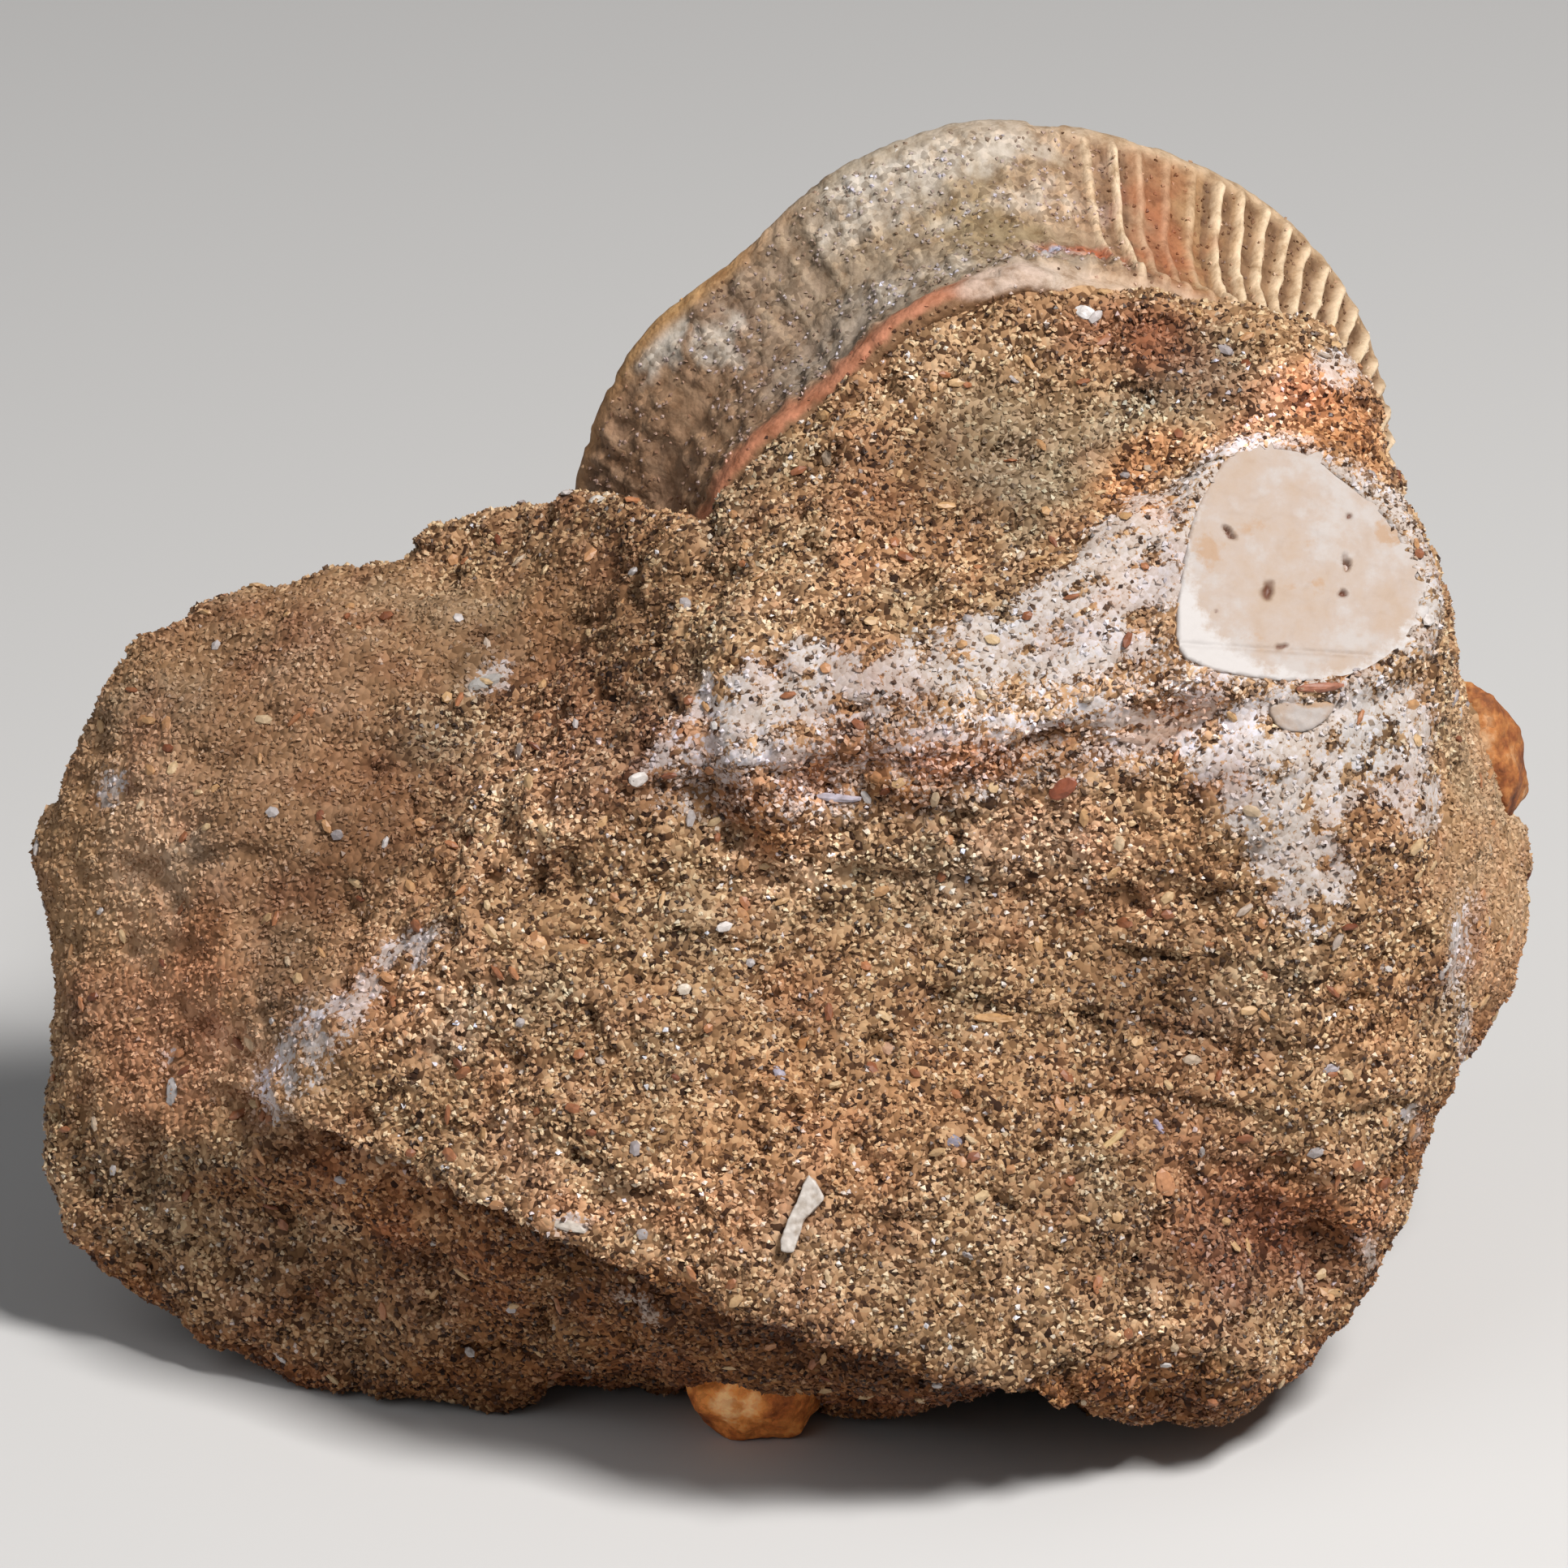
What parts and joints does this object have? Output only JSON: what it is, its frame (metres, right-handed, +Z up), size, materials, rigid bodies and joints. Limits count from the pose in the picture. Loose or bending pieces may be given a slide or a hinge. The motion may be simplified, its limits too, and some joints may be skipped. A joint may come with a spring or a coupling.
{
  "type": "fossil shark vertebra",
  "caption": "Shark vertebral centrum half buried in a block of sandy phosphate rock, with a ribbed side wall and a free rear cup.",
  "frame": {"origin": "on the flat that the block rests on, below the middle of the broad broken face", "axes": "+Z up, away from the resting flat; the broad broken face looks towards -Y; +X to its right, along the block's length"},
  "size_m": [0.1016, 0.0652, 0.0768],
  "materials": {
    "sandy_rock": "rough, granular, phosphatic sandstone",
    "fossil_bone": "matt mineralised cartilage, cream to tan, with sand stuck on it",
    "rubbed_bone": "smooth, rubbed, cream with orange stain",
    "white_shell": "chalky white",
    "rusty_nodule": "dull rusty orange"
  },
  "bodies": {
    "root": {"matrix": "sandy_rock", "vertebra": "fossil_bone", "bone_fragment": "rubbed_bone", "bone_chip": "rubbed_bone", "shell_sliver": "white_shell", "edge_nodule": "rusty_nodule", "foot_nodule": "rusty_nodule"}
  },
  "joints": []
}
